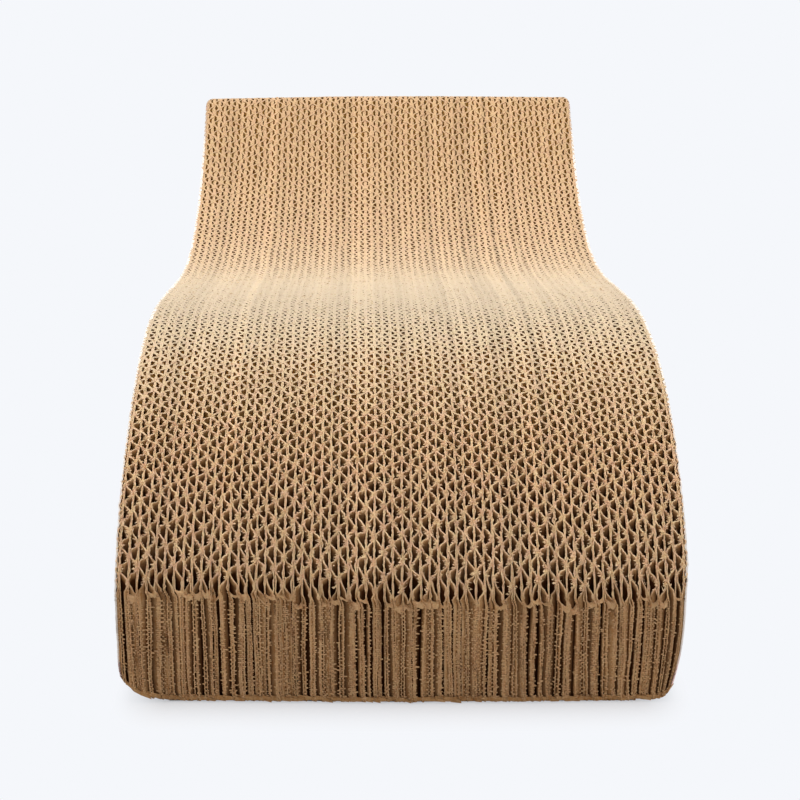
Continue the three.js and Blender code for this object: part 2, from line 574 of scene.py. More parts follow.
class Wave:
    """The medium's path between two liners' inner faces."""

    FLAT = 0.09
    DRIFT = (60 * MM, 0.25)
    GIVE = (9 * MM, 0.07)
    LEAN_FROM = 5 * MM
    FINE_STEPS = 8000

    def __init__(self, rng, left_of, right_of, thick, flute, lean_of):
        self.left_of = left_of
        self.right_of = right_of
        self.thick = thick
        self.turn = 2 * np.pi / flute
        self.start = rng.uniform(0, 2 * np.pi)
        self.drift = along_length(rng, *self.DRIFT)
        self.give = along_length(rng, *self.GIVE)
        self.lean_of = lean_of

    def angle(self, y):
        return self.turn * y + self.start + self.drift(y)

    def crests(self):
        """Where along y the wave touches a liner."""
        fine = np.linspace(FRONT, BACK, self.FINE_STEPS)
        angle = self.angle(fine) / np.pi - 0.5
        whole = np.arange(math.ceil(angle.min()), math.floor(angle.max()) + 1)
        return np.interp(whole, angle, fine)

    def web(self, y):
        """How much thicker the frayed edge is near the places glued to a liner."""
        near = np.sin(self.angle(y))
        strength = np.where(near > 0, WEB_RIGHT, WEB_LEFT) * along(y, WEB_SHARE)
        return strength * np.abs(near) ** WEB_SHARPNESS

    def inward(self, y):
        """Which way along x the open flute lies from the liner that the wave is at."""
        return -np.sign(np.sin(self.angle(y)))

    def x_of(self, y, z):
        return self(y, z)[0]

    def __call__(self, y, z):
        """The wave's x and leaning y at each place, and its direction across the paper."""
        left, right = self.left_of(y, z), self.right_of(y, z)
        swing = ((right - left) / 2 - self.thick / 2) * (1 - np.abs(self.give(y)))
        angle = self.angle(y)
        top = 1 - self.FLAT
        offset = swing * (np.sin(angle) + self.FLAT * np.sin(3 * angle)) / top
        rise = self.turn * swing * (np.cos(angle) + 3 * self.FLAT * np.cos(3 * angle)) / top
        inside = np.clip(np.minimum(y - FRONT, BACK - y) / self.LEAN_FROM, 0, 1)
        lean = self.lean_of(y) * inside
        run = 1 + lean * rise
        across = np.stack([run, -rise], -1) / np.hypot(run, rise)[:, None]
        return (left + right) / 2 + offset, y + lean * offset, across


def medium_sheet(sheets, rng, wave, lattice, tone, setback):
    """The wavy paper itself."""
    edge = Edge(rng, lattice, setback, MEDIUM_TEETH, MEDIUM_FLARE)
    x, y, across = wave(lattice.y, lattice.z)
    z = (lattice.z + edge.drop) * edge.fold * OUTLINE.top(y) / OUTLINE.top(lattice.y)
    y = y + edge.shift
    flare = edge.flare * along(lattice.y, MEDIUM_FLUFF) * (1 + wave.web(lattice.y))
    half = wave.thick / 2 * (1 + flare)
    layers = []
    for shift in (edge.sway * MEDIUM_SWAY + half, edge.sway * MEDIUM_SWAY - half):
        layers.append(np.stack([x + shift * across[:, 0], y + shift * across[:, 1], z], -1))
    sheets.add(lattice, layers[0], layers[1], tone)


# Fibres along the cut edges: how many, their typical and longest lengths, and their lie

LINER_FIBRES = 420
MEDIUM_FIBRES = 700
FINE_FIBRES = 400
LINER_HAIRS = (0.45 * MM, 1.0 * MM)
MEDIUM_HAIRS = (0.55 * MM, 1.3 * MM)
LENGTH_SPREAD = 0.45
HAIR_WIDTH = 0.3 * MM
HAIR_SUNK = 0.3 * MM
HAIR_TURN = 0.7
HAIR_RISE = (-0.6, 0.1)
LINER_CLEAR = 2 * MM
MEDIUM_CLEAR = 3 * MM

# Tufts and crumbs where the wave is glued: how many at a right and a left liner, and their lie
TUFTS = ((12, 30), (1, 6))
TUFT_WIDTH = 0.65 * MM
TUFT_LENGTHS = (1.25 * MM, 2.6 * MM)
TUFT_SLANT = 0.45
TUFT_TURN = 0.7
TUFT_RISE = (-0.5, 0.15)
TUFT_SUNK = (0.0, 0.6)
TUFT_PALER = 0.3
CRUMBS = ((3, 10), (0, 3))
CRUMB_SIZES = (0.3, 0.75)
CRUMB_OUT = (0.1, 1.2)
CRUMB_SUNK = (0.2, 0.9)
CRUMB_FORWARD = 0.2 * MM
CRUMB_PALER = 0.2
CRUMB_DULLNESS = 0.08 * MM
SCATTER = 0.8 * MM


def fibre_lengths(rng, count, typical, longest):
    return np.minimum(typical * rng.lognormal(0, LENGTH_SPREAD, count), longest)


def scattered(rng, count, clear):
    """Random places along y, as close together as the fibres stand there."""
    grid = np.linspace(FRONT + clear, BACK - clear, 500)
    share = np.concatenate([[0.0], np.cumsum(along(grid[1:], FIBRE_SHARE))])
    return np.interp(rng.random(count), share / share[-1], grid)


def on_top(x, y, sunk):
    """Places a little below the top cut."""
    return np.stack([x, y, OUTLINE.top(y) - sunk], -1)


def add_hairs(sheets, rng, x, y, across_x, across_y, lengths, tone):
    """Fibres near the directions given, along the cut surface, with a little up and down."""
    count = len(y)
    turn = rng.normal(0, HAIR_TURN, count) + np.where(rng.random(count) < 0.5, 0, np.pi)
    along_x = across_x * np.cos(turn) - across_y * np.sin(turn)
    along_y = across_x * np.sin(turn) + across_y * np.cos(turn)
    upward = along_y * OUTLINE.slope(y) + rng.uniform(*HAIR_RISE, count)
    directions = np.stack([along_x, along_y, upward], -1)
    lengths = fibre_lengths(rng, count, *lengths)
    sheets.add_fibres(rng, on_top(x, y, HAIR_SUNK), directions, lengths, HAIR_WIDTH, tone)


def liner_fibres(sheets, rng, x_of, tone, count):
    y = scattered(rng, count, LINER_CLEAR)
    x = x_of(y, OUTLINE.top(y))
    add_hairs(sheets, rng, x, y, np.ones(count), np.zeros(count), LINER_HAIRS, tone)


def medium_fibres(sheets, rng, wave, tone, count):
    places = scattered(rng, count, MEDIUM_CLEAR)
    x, y, across = wave(places, OUTLINE.top(places))
    add_hairs(sheets, rng, x, y, across[:, 0], across[:, 1], MEDIUM_HAIRS, tone)


def crests_with_fluff(rng, wave, at_right, at_left):
    """The glued places, each repeated as often as it gets a tuft or crumb."""
    crests = wave.crests()
    crests = crests[(crests > FRONT + MEDIUM_CLEAR) & (crests < BACK - MEDIUM_CLEAR)]
    rightward = np.sin(wave.angle(crests)) > 0
    many = rng.integers(*at_right, len(crests))
    few = rng.integers(*at_left, len(crests))
    counts = np.where(rightward, many, few) * along(crests, FIBRE_SHARE)
    return np.repeat(crests, (counts + rng.random(len(crests))).astype(int))


def glue_crumbs(sheets, rng, wave, tone):
    """Crumbs of paper and glue in the corners where the wave meets a liner."""
    crests = crests_with_fluff(rng, wave, *CRUMBS)
    count = len(crests)
    places = crests + rng.normal(-CRUMB_FORWARD, SCATTER, count)
    x, y, _ = wave(places, OUTLINE.top(crests))
    x = x + wave.inward(crests) * some_mm(rng, *CRUMB_OUT, count)
    sizes = some_mm(rng, *CRUMB_SIZES, count)
    centres = on_top(x, y, some_mm(rng, *CRUMB_SUNK, count))
    sheets.add_crumbs(rng, centres, sizes, tone + CRUMB_PALER, CRUMB_DULLNESS)


def glue_tufts(sheets, rng, wave, tone):
    """Fluff where the wave is glued to a liner, standing out into the open flutes."""
    crests = crests_with_fluff(rng, wave, *TUFTS)
    count = len(crests)
    places = crests + rng.normal(0, SCATTER, count)
    x, y, _ = wave(places, OUTLINE.top(places))
    turn = rng.normal(-TUFT_SLANT, TUFT_TURN, count)
    upward = np.sin(turn) * OUTLINE.slope(y) + rng.uniform(*TUFT_RISE, count)
    directions = np.stack([wave.inward(crests) * np.cos(turn), np.sin(turn), upward], -1)
    lengths = fibre_lengths(rng, count, *TUFT_LENGTHS)
    roots = on_top(x, y, some_mm(rng, *TUFT_SUNK, count))
    sheets.add_fibres(rng, roots, directions, lengths, TUFT_WIDTH, tone + TUFT_PALER)


# Flaps at the ends, one for most teeth: their places, their lie and their sizes
FLAPS_END = 5 * MM
FLAP_CHANCE = 0.95
FLAP_JITTER = 0.08 * MM
FLAP_BEHIND = (0.1, 0.5)
FLAP_SIDES = (7 * MM, 0.8)
FLAP_INWARD = (-0.25, 0.5)
FLAP_RISE = 0.14
FLAP_WIDTHS = (0.55, 0.95)
LINER_FLAP = 0.7 * MM
MEDIUM_FLAP = 0.8 * MM
LONGEST_FLAP = 1.5 * MM

# The same for each paper's strips at the front's foot
FOOT_FLAPS = 2
FOOT_BEHIND = (0.3, 1.6)
FOOT_HEIGHTS = (1.4, 2.3)
FOOT_INWARD = (-0.25, 0.25)
FOOT_RISE = (-0.08, 0.1)
FOOT_LENGTHS = (2.2, 4.4)
FOOT_WIDTHS = (1.3, 2.3)


def end_flaps(sheets, rng, x_of, end, setback, tone, typical):
    """Flaps that the blade's teeth bend to both sides of an edge cut along the flutes."""
    z = np.arange(FOOT + MM, OUTLINE.top(end) - FLAPS_END, TOOTH)
    z = z[rng.random(len(z)) < FLAP_CHANCE]
    count = len(z)
    z = z + rng.normal(0, FLAP_JITTER, count)
    inward = 1 if end < 0 else -1
    y = end + inward * (setback + some_mm(rng, *FLAP_BEHIND, count))
    side = np.sign(np.resize([-1.0, 1.0], count) + up_height(rng, *FLAP_SIDES)(z))
    turned = inward * rng.uniform(*FLAP_INWARD, count)
    directions = np.stack([side, turned, rng.normal(0, FLAP_RISE, count)], -1)
    lengths = fibre_lengths(rng, count, typical, LONGEST_FLAP)
    widths = TOOTH * rng.uniform(*FLAP_WIDTHS, count)
    sheets.add_flaps(rng, x_of, y, z, directions, lengths, widths, tone, END_DULLNESS)


def foot_flaps(sheets, rng, x_of, tone):
    """Torn strips at the front's lower edge, bent over to the right into one ragged rim."""
    count = FOOT_FLAPS
    y = FRONT + some_mm(rng, *FOOT_BEHIND, count)
    z = some_mm(rng, *FOOT_HEIGHTS, count)
    turned = rng.uniform(*FOOT_INWARD, count)
    directions = np.stack([np.ones(count), turned, rng.normal(*FOOT_RISE, count)], -1)
    lengths = some_mm(rng, *FOOT_LENGTHS, count)
    widths = some_mm(rng, *FOOT_WIDTHS, count)
    sheets.add_flaps(rng, x_of, y, z, directions, lengths, widths, tone, 2 * END_DULLNESS)


LIP_ROWS = 3
LIP_PLACES = 7
LIP_THICK = 0.35 * MM
LIP_CHANCE = 0.65

# A lip's shape: its height lost, its crown's dip, its lower edge, and its lie across the cut
LIP_WEAR = 1.6 * MM
MOST_LIP_WEAR = 4 * MM
LIP_RAISED = 0.3 * MM
LIP_DIPS = (0.4, 2.2)
LIP_UNEVEN = 0.15 * MM
LIP_HEIGHTS = (1.8, 4.2)
LIP_ARCHES = (0, 1.8)
LIP_RAGGED = 0.25 * MM
LIP_BEHIND = (0.35, 0.7)
LIP_BULGE = 0.3 * MM
LIP_BENT = 0.9 * MM


def strip_faces(rows, places):
    """Faces of a thin closed strip, given as a front and a back layer of rows of places."""
    size = rows * places
    faces = []
    for row in range(rows - 1):
        for one in range(row * places, (row + 1) * places - 1):
            above = one + places
            faces.append((one, one + 1, above + 1, above))
            faces.append((above + size, above + 1 + size, one + 1 + size, one + size))
        left = row * places
        right = left + places - 1
        faces.append((left, left + places, left + places + size, left + size))
        faces.append((right, right + size, right + places + size, right + places))
    for low in range(places - 1):
        high = low + size - places
        faces.append((low, low + size, low + 1 + size, low + 1))
        faces.append((high, high + 1, high + 1 + size, high + size))
    return faces


LIP_FACES = strip_faces(LIP_ROWS, LIP_PLACES)


def fold_lip(sheets, rng, left_of, right_of, tone, setback):
    """The lip that the blade leaves across an open flute at the upper front edge."""
    share = np.linspace(0, 1, LIP_PLACES)
    dip = np.sin(np.pi * share)
    top = OUTLINE.top(FRONT) - min(abs(rng.normal(0, LIP_WEAR)), MOST_LIP_WEAR) + LIP_RAISED
    tilt = some_mm(rng, -1, 1) * (share - 0.5)
    crown = top + tilt - some_mm(rng, *LIP_DIPS) * dip + rng.normal(0, LIP_UNEVEN, LIP_PLACES)
    lower = crown - some_mm(rng, *LIP_HEIGHTS) + some_mm(rng, *LIP_ARCHES) * dip
    lower = lower + rng.normal(0, LIP_RAGGED, LIP_PLACES)
    front = FRONT + setback + some_mm(rng, *LIP_BEHIND) - LIP_BULGE * dip
    rows = [(front, lower), (front, crown - LIP_BENT), (front + LIP_BENT, crown)]
    corners = []
    for behind in (0, LIP_THICK):
        for y, z in rows:
            left = left_of(y + behind, z)
            right = right_of(y + behind, z)
            corners.append(np.stack([left + (right - left) * share, y + behind, z], -1))
    sheets.add_solids(rng, np.concatenate(corners)[None], LIP_FACES, tone, END_DULLNESS)


# Warps of whole boards

class EndBend:
    """How the blade has pushed the edges of an end sideways, as one field across the boards."""

    WAVES = 9
    ACROSS = (11 * MM, 48 * MM)
    UP = (150 * MM, 500 * MM)
    REACH = 2.1 * MM
    SHARPNESS = 1.4
    HELD = 4 * MM
    HOOK = 1.3 * MM
    HOOK_HEIGHT = 2.0 * MM
    FADE = 12 * MM

    def __init__(self, rng, end, mean, spread):
        self.end = end
        self.mean = mean
        self.spread = spread * math.sqrt(2 / self.WAVES)
        self.waves = Waves(rng, self.WAVES, self.ACROSS, self.UP)

    def __call__(self, places):
        x, y, z = places.T
        held = np.clip((OUTLINE.top(self.end) - z) / self.HELD, 0, 1)
        push = (self.mean + self.spread * self.waves(x, z)) * held * held * (3 - 2 * held)
        push = push + self.HOOK * fading(z, self.HOOK_HEIGHT)
        push = push * np.clip((HALF_WIDTH - np.abs(x)) / self.FADE, 0, 1)
        warped = places.copy()
        warped[:, 0] += push * np.exp(-((np.abs(y - self.end) / self.REACH) ** self.SHARPNESS))
        return warped


class EndCut:
    """How the cut along the flutes squeezes one board's end and pushes it over."""

    SQUEEZE_SPACING = 14 * MM
    PUSH_SPACING = 11 * MM
    MOST_SQUEEZE = 0.7
    REACHES = (1.8, 4.0)
    SHARPNESS = 1.5
    HELD_TOP = 9 * MM
    HELD_FOOT = 4 * MM

    def __init__(self, rng, middle, end, squeeze, push):
        self.middle = middle
        self.end = end
        self.squeeze = rng.uniform(0, squeeze)
        self.squeeze_change = up_height(rng, self.SQUEEZE_SPACING, squeeze / 4)
        self.push = rng.normal(0, push)
        self.push_change = up_height(rng, self.PUSH_SPACING, push / 2)
        self.reach = some_mm(rng, *self.REACHES)

    def __call__(self, places):
        x, y, z = places.T
        near = np.exp(-((np.abs(y - self.end) / self.reach) ** self.SHARPNESS))
        held = np.clip((OUTLINE.top(self.end) - z) / self.HELD_TOP, 0, 1)
        held = held * np.clip(z / self.HELD_FOOT, 0, 1)
        squeeze = np.clip(self.squeeze + self.squeeze_change(z), 0, self.MOST_SQUEEZE) * held
        push = self.push + self.push_change(z)
        warped = places.copy()
        warped[:, 0] = x - near * (squeeze * (x - self.middle) - push)
        return warped


# The worn lower corners at the front: lean inward, its height, lift, and run of the lift
CORNER_LEFT = (0.8 * MM, 14 * MM, 11.5 * MM, 6.5 * MM)
CORNER_RIGHT = (5.5 * MM, 42 * MM, 5.5 * MM, 4.5 * MM)
CORNER_WIDTH = 40 * MM
CORNER_REACH = 70 * MM
CORNER_PRESSED = 26 * MM

# The side sheets' front edges curl inward: how far at each side, how deep, and over what width
CURL_LEFT = 0.2 * MM
CURL_RIGHT = 2.0 * MM
CURL_REACH = 12 * MM
CURL_WIDTH = 12 * MM


def worn_corners(places):
    """The outer boards' lower front corners lean inward, and their feet are pressed up."""
    x, y, z = places.T
    warped = places.copy()
    ahead = np.clip(1 - (y - FRONT) / CORNER_REACH, 0, 1) ** 2
    curled = np.clip(1 - (y - FRONT) / CURL_REACH, 0, 1) ** 2
    corners = ((-1, CURL_LEFT, CORNER_LEFT), (1, CURL_RIGHT, CORNER_RIGHT))
    for side, curl, (lean, lean_height, lift, lift_run) in corners:
        inside = HALF_WIDTH - side * x
        near = np.clip(1 - inside / CORNER_WIDTH, 0, 1) ** 2
        low = np.clip(1 - z / lean_height, 0, 1) ** 2
        warped[:, 0] -= side * lean * near * low * ahead
        warped[:, 0] -= side * curl * curled * np.clip(1 - inside / CURL_WIDTH, 0, 1) ** 2
        raised = lift * fading(inside, lift_run) * ahead
        pressed = np.clip(1 - z / CORNER_PRESSED, 0, 1)
        warped[:, 2] += raised * pressed
    return warped


# The rounding over the outer boards, how much of it there is away from the head, and the rim
# outside it that stays level there
SHOULDER = 4.5 * MM
SHOULDER_DEPTH = 12 * MM
SHOULDER_SHARE = 0.35
LEVEL_RIM = 1.3 * MM
HEAD_ZONE = 90 * MM
HEAD_ZONE_RUN = 60 * MM

# The head rest's top edge droops towards its ends: by how much at the left and right, and
# from which share of the half width on
DROOP_LEFT = 1.5 * MM
DROOP_RIGHT = 1.0 * MM
DROOP_FROM = 0.25


def worn_shoulders(places):
    """The outermost boards' top edges are rounded over, most of all at the head."""
    x, y, z = places.T
    at_head = np.clip((y - BACK + HEAD_ZONE) / HEAD_ZONE_RUN, 0, 1)
    inside = np.maximum(HALF_WIDTH - np.abs(x), LEVEL_RIM * (1 - at_head))
    out = np.clip(SHOULDER - inside, 0, SHOULDER)
    drop = SHOULDER - np.sqrt(SHOULDER**2 - out**2)
    near = fading(np.maximum(OUTLINE.top(y) - z, 0), SHOULDER_DEPTH)
    outward = np.clip(np.abs(x) / HALF_WIDTH - DROOP_FROM, 0, 1) / (1 - DROOP_FROM)
    droop = np.where(x < 0, DROOP_LEFT, DROOP_RIGHT) * outward
    rounding = SHOULDER_SHARE + (1 - SHOULDER_SHARE) * at_head
    warped = places.copy()
    warped[:, 2] -= (drop * rounding + droop * at_head) * near
    return warped


# The front was cut a little askew: how far back it lies at places across the boards
SKEW_AT = np.array([-126.0, -85.0, -60.0, 0.0, 60.0, 126.0]) * MM
SKEW = np.array([3.2, 3.0, 2.1, 0.2, 0.0, 0.7]) * MM
SKEW_REACH = 60 * MM

# The sides aren't quite plane: the left one lies inward at the hump, the right one at the head
HUMP_INWARD = 1.0 * MM
HUMP_AT = -200 * MM
HUMP_RUN = 75 * MM
HUMP_HEIGHT = 100 * MM
HEAD_INWARD = 0.9 * MM
HEAD_FROM = 20 * MM
HEAD_RUN = 100 * MM


def out_of_true(places):
    """The small errors of the gluing, which leave the block a little out of square."""
    x, y, z = places.T
    back = np.interp(x, SKEW_AT, SKEW) * np.clip(1 - (y - FRONT) / SKEW_REACH, 0, 1)
    hump = np.exp(-(((y - HUMP_AT) / HUMP_RUN) ** 2)) * np.clip(z / HUMP_HEIGHT, 0, 1) ** 2
    head = np.clip((y - HEAD_FROM) / HEAD_RUN, 0, 1)
    warped = places.copy()
    warped[:, 1] += back
    warped[:, 2] *= OUTLINE.top(y + back) / OUTLINE.top(y)
    warped[:, 0] += HUMP_INWARD * hump * (HALF_WIDTH - x) / (2 * HALF_WIDTH)
    warped[:, 0] -= HEAD_INWARD * head * (HALF_WIDTH + x) / (2 * HALF_WIDTH)
    return warped


def kept_inside(places):
    """Nothing reaches outside the CAD model's box."""
    return np.clip(places, np.array(CAD_BOX[0]), np.array(CAD_BOX[1]))


# Materials

def set_inputs(node, values):
    for name, value in values.items():
        node.inputs[name].default_value = value


def new_material(name, roughness, specular=0.15):
    material = bpy.data.materials.new(name)
    material.use_nodes = True
    shader = material.node_tree.nodes["Principled BSDF"]
    set_inputs(shader, {"Roughness": roughness, "Specular IOR Level": specular})
    return material, Nodes(material.node_tree), shader


def srgb(red, green, blue):
    """A colour as read off a picture, as linear light."""
    values = [c / 255 for c in (red, green, blue)]
    return tuple(c / 12.92 if c < 0.04045 else ((c + 0.055) / 1.055) ** 2.4 for c in values) + (1.0,)


class Nodes:
    """Short calls for building a material's nodes."""

    def __init__(self, tree):
        self.tree = tree

    def new(self, kind, **values):
        node = self.tree.nodes.new(kind)
        for key, value in values.items():
            setattr(node, key, value)
        return node

    def link(self, source, target):
        self.tree.links.new(source, target)

    def feed(self, socket, value):
        if isinstance(value, bpy.types.NodeSocket):
            self.link(value, socket)
        else:
            socket.default_value = value

    def attribute(self, name):
        return self.new("ShaderNodeAttribute", attribute_name=name).outputs["Fac"]

    def place(self, axis):
        at = self.new("ShaderNodeSeparateXYZ")
        self.link(self.new("ShaderNodeTexCoord").outputs["Object"], at.inputs["Vector"])
        return at.outputs[axis]

    def places(self, scale):
        at = self.new("ShaderNodeTexCoord").outputs["Object"]
        mapping = self.new("ShaderNodeMapping")
        set_inputs(mapping, {"Scale": scale})
        self.link(at, mapping.inputs["Vector"])
        return mapping.outputs["Vector"]

    def noise(self, scale, detail=3.0, rough=0.6):
        node = self.new("ShaderNodeTexNoise")
        self.link(self.places(scale), node.inputs["Vector"])
        set_inputs(node, {"Scale": 1.0, "Detail": detail, "Roughness": rough})
        return node.outputs["Fac"]

    def map(self, value, low, high, to_low, to_high):
        node = self.new("ShaderNodeMapRange")
        for name, number in zip(
            ("Value", "From Min", "From Max", "To Min", "To Max"),
            (value, low, high, to_low, to_high),
        ):
            self.feed(node.inputs[name], number)
        return node.outputs["Result"]

    def math(self, operation, one, two=0.0):
        node = self.new("ShaderNodeMath", operation=operation)
        self.feed(node.inputs[0], one)
        self.feed(node.inputs[1], two)
        return node.outputs["Value"]

    def times(self, one, two):
        return self.math("MULTIPLY", one, two)

    def mix(self, share, one, two, blend="MIX"):
        node = self.new("ShaderNodeMix", data_type="RGBA", blend_type=blend)
        self.feed(node.inputs[0], share)
        self.feed(node.inputs[6], one)
        self.feed(node.inputs[7], two)
        return node.outputs[2]


KRAFT = srgb(212, 160, 106)
KRAFT_DARK = srgb(188, 134, 84)
# Painted shade deep inside the flutes, and painted light there over the middle of the boards
PAINTED_SHADE_INSIDE = srgb(66, 28, 5)
PAINTED_LIGHT_INSIDE = srgb(254, 208, 118)
FLECK = srgb(110, 72, 40)
CUT_YELLOW = srgb(246, 219, 172)
CUT_PINK = srgb(245, 208, 174)
# Painted sheen: cream that whitens the fluff over the hump and the hollow
PAINTED_SHEEN_CREAM = srgb(252, 234, 192)
EDGE_SHEEN = 0.6

# Where the painted cream sheen on the fluff begins, on the near side of the hump, and where it
# stops, over the lowest part of the hollow
PAINTED_SHEEN_FROM = (-235 * MM, -140 * MM)
PAINTED_SHEEN_TO = (50 * MM, 150 * MM)

# Over the first stretch the flutes' insides turn from painted shade to painted light, and over the
# second one, just before the back face, they turn back to painted shade
PAINTED_SHADE_UNTIL = (-255 * MM, -185 * MM)
PAINTED_SHADE_AGAIN = (284 * MM, 292 * MM)

# Depths, where the insides have painted shade and where painted light, at which the fluff ends
# and the painted inside colour begins
FLUFF_DEPTHS = (0.7 * MM, 0.5 * MM)
INSIDE_DEPTHS = (3.6 * MM, 1.3 * MM)
PAPER_DEPTH = 0.5 * MM

# Steps of tone and the brightness that they stand for
TONE_STEPS = (-3, 1.5)
TONE_LIGHT = (0.645, 1.095)


def cardboard():
    """Brown paper: fibres, flecks, pale fluff at the cut, and painted shade, light and sheen."""
    material, n, shader = new_material("corrugated_board", 0.92, 0.0)
    set_inputs(shader, {"Sheen Roughness": 0.45})
    fibres = n.noise((900, 900, 300), 4.0)
    glints = n.noise((1300, 1300, 1300), 1.0)
    saw_marks = n.noise((420, 420, 1300), 2.0)
    blotches = n.noise((60, 60, 40), 3.0)
    flecks = n.noise((1500, 1500, 900), 2.0, 0.4)
    hues = n.noise((330, 330, 330), 2.0)
    depth = n.attribute("cut_depth")
    paper = n.mix(n.map(blotches, 0.3, 0.7, 0, 1), KRAFT_DARK, KRAFT)
    paper = n.mix(n.map(fibres, 0.35, 0.65, 0, 0.3), paper, CUT_YELLOW)
    paper = n.mix(n.map(flecks, 0.66, 0.74, 0, 0.5), paper, FLECK)
    paper = n.mix(n.map(saw_marks, 0.46, 0.7, 0, 0.25), paper, FLECK)
    y = n.place("Y")
    # Painted light share: low near the front and at the back face, where the insides get painted
    # shade
    painted_light_share = n.times(n.map(y, *PAINTED_SHADE_UNTIL, 0, 1), n.map(y, *PAINTED_SHADE_AGAIN, 1, 0))
    deep = n.mix(painted_light_share, PAINTED_SHADE_INSIDE, PAINTED_LIGHT_INSIDE)
    # Below the cut, the paper turns to the painted inside colour with depth
    inside = n.map(depth, PAPER_DEPTH, n.map(painted_light_share, 0, 1, *INSIDE_DEPTHS), 0.0, 0.95)
    paper = n.mix(inside, paper, deep)
    fluff = n.mix(n.map(hues, 0.38, 0.62, 0, 1), CUT_YELLOW, CUT_PINK)
    # Painted sheen: over the hump and the hollow the fluff is painted partly cream
    painted_sheen_zone = n.times(n.map(y, *PAINTED_SHEEN_FROM, 0, 1), n.map(y, *PAINTED_SHEEN_TO, 1, 0))
    fluff = n.mix(n.times(painted_sheen_zone, 0.35), fluff, PAINTED_SHEEN_CREAM)
    edge = n.map(depth, 0.0, n.map(painted_light_share, 0, 1, *FLUFF_DEPTHS), 1.0, 0.0)
    edge = n.times(edge, n.map(fibres, 0.3, 0.7, 0.8, 1.0))
    n.link(n.times(edge, EDGE_SHEEN), shader.inputs["Sheen Weight"])
    dull = n.times(n.map(glints, 0.35, 0.6, 0.45, 0), n.map(painted_sheen_zone, 0, 1, 1, 0.15))
    fluff = n.mix(dull, fluff, KRAFT)
    colour = n.mix(edge, paper, fluff)
    # Tone: the papers' own random tones, with painted light and shade along the boards
    tone = n.map(n.attribute("tone"), *TONE_STEPS, *TONE_LIGHT)
    grey = n.new("ShaderNodeCombineColor")
    for socket in grey.inputs[:3]:
        n.link(tone, socket)
    colour = n.mix(1.0, colour, grey.outputs["Color"], "MULTIPLY")
    n.link(colour, shader.inputs["Base Color"])
    bump = n.new("ShaderNodeBump")
    set_inputs(bump, {"Strength": 0.35, "Distance": 0.15 * MM})
    n.link(fibres, bump.inputs["Height"])
    n.link(bump.outputs["Normal"], shader.inputs["Normal"])
    return material


PRINT_GROUND = srgb(250, 243, 240)
PRINT_PINK = srgb(246, 205, 196)
PRINT_SALMON = srgb(232, 122, 100)
PRINT_WORN = srgb(196, 180, 170)
PRINT_CORE = srgb(242, 232, 222)

# The spots: how many in a metre, how far they stray off a grid, their radii as shares of its
# spacing, and above which random value they are salmon
SPOTS_PER_METRE = 26
SPOT_STRAY = 0.55
SPOT_RADII = (0.17, 0.34)
SALMON_ABOVE = 0.6


def printed_liner():
    """White paper printed with plain pink and salmon spots, unprinted where it is cut."""
    material, n, shader = new_material("printed_side", 0.6)
    spots = n.new("ShaderNodeTexVoronoi")
    set_inputs(spots, {"Scale": 1.0, "Randomness": SPOT_STRAY})
    n.link(n.places((0.0, SPOTS_PER_METRE, SPOTS_PER_METRE)), spots.inputs["Vector"])
    own = n.new("ShaderNodeSeparateColor")
    n.link(spots.outputs["Color"], own.inputs["Color"])
    salmon = n.math("GREATER_THAN", own.outputs["Blue"], SALMON_ABOVE)
    radius = n.map(own.outputs["Green"], 0.0, 1.0, *SPOT_RADII)
    inside = n.math("LESS_THAN", spots.outputs["Distance"], radius)
    colour = n.mix(inside, PRINT_GROUND, n.mix(salmon, PRINT_PINK, PRINT_SALMON))
    grain = n.noise((700, 700, 700), 3.0)
    colour = n.mix(n.map(grain, 0.3, 0.7, 0.0, 0.12), colour, PRINT_WORN)
    facing = n.new("ShaderNodeSeparateXYZ")
    n.link(n.new("ShaderNodeNewGeometry").outputs["Normal"], facing.inputs["Vector"])
    sideways = n.math("ABSOLUTE", facing.outputs["X"])
    colour = n.mix(n.map(sideways, 0.55, 0.75, 1, 0), colour, PRINT_CORE)
    n.link(colour, shader.inputs["Base Color"])
    return material


CARDBOARD = cardboard()
PRINTED = printed_liner()


# The boards

RIPPLE = 0.22 * MM

# How the ends' edges are bent, mean and spread, and how much each end is squeezed and pushed
FRONT_BEND = (1.5 * MM, 0.9 * MM)
BACK_BEND = (0.6 * MM, 0.9 * MM)
BOARD_CUT = (0.25, 0.25 * MM)
SHEET_CUT = (0.3, 0.1 * MM)

# How far a board's edges lie behind its end's cut, and how much more the medium's does
SETBACK = 0.6 * MM
MOST_SETBACK = 1.5 * MM
MEDIUM_SETBACK = 0.2 * MM

# Steps of tone: how boards and papers differ, and how much paler liners are than mediums
BOARD_TONES = 0.35
PAPER_TONES = 0.2
LINER_PALER = 0.2

# The side sheets' papers, as tone and setback, and how far the print lies inside the box
FINE_LINER_PAPER = (0.1, 0.3 * MM)
FINE_MEDIUM_PAPER = (-0.1, 0.5 * MM)
PRINTED_PAPER = (0.0, 0.2 * MM)
PRINT_INSET = 0.12 * MM


def core_boards():
    """Each core board's number, CAD node and left and right faces, from left to right."""
    boards = []
    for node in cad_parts:
        if node.startswith("board_"):
            numbers = [int(word) for word in node.split("_")[1:]]
            low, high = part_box(node)
            thick = (high.x - low.x) / len(numbers)
            for place, number in enumerate(numbers):
                left = low.x + place * thick
                boards.append((number, node, left, left + thick))
    return sorted(boards)


def into_scene(name, data):
    thing = bpy.data.objects.new(name, data)
    bpy.context.scene.collection.objects.link(thing)
    return thing


def finish_piece(name, sheets, warps, node, material):
    mesh = sheets.mesh(name, warps + [worn_corners, worn_shoulders, out_of_true, kept_inside])
    mesh.materials.append(material)
    piece = into_scene(name, mesh)
    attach(piece, "root")
    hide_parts(node)


